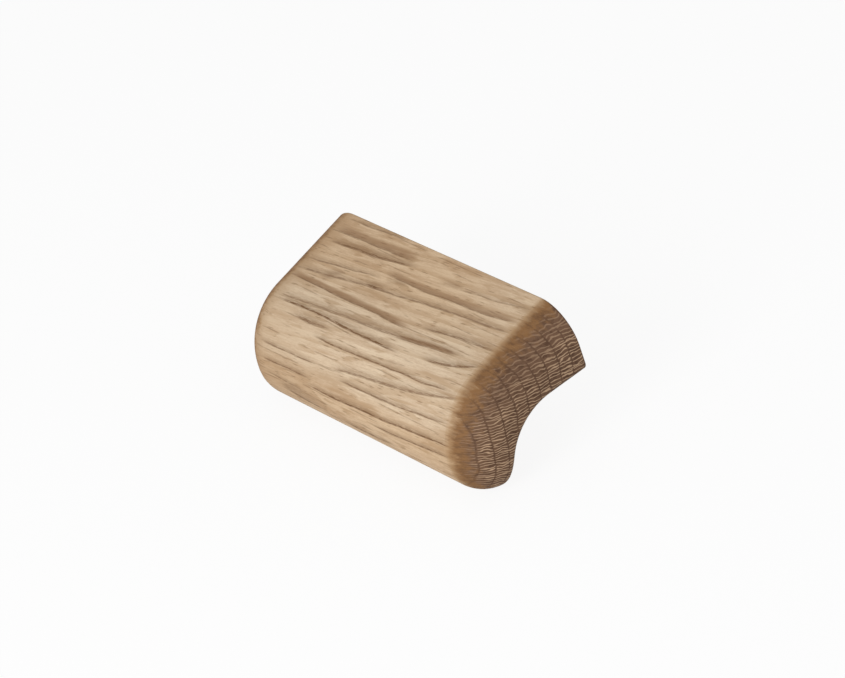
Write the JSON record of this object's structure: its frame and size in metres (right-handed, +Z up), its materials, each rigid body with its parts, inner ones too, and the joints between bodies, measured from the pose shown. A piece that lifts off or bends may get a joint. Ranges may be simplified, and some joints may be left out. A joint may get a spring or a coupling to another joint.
{
  "type": "cabinet finger pull",
  "caption": "Solid oak finger pull with a rounded outer block, a finger cove along its underside and threaded brass inserts in its flat mounting face.",
  "frame": {"origin": "on the flat mounting face, halfway between the two fixing screws", "axes": "+X along the pull, +Y out of the mounting face into the door or drawer front, +Z up with the finger cove below"},
  "size_m": [0.064, 0.0257, 0.0239],
  "materials": {
    "oak": "fine sanded, clear matt oil",
    "insert_brass": "turned"
  },
  "bodies": {
    "root": {"pull_body": "oak", "insert_left": "insert_brass", "insert_right": "insert_brass"}
  },
  "joints": []
}
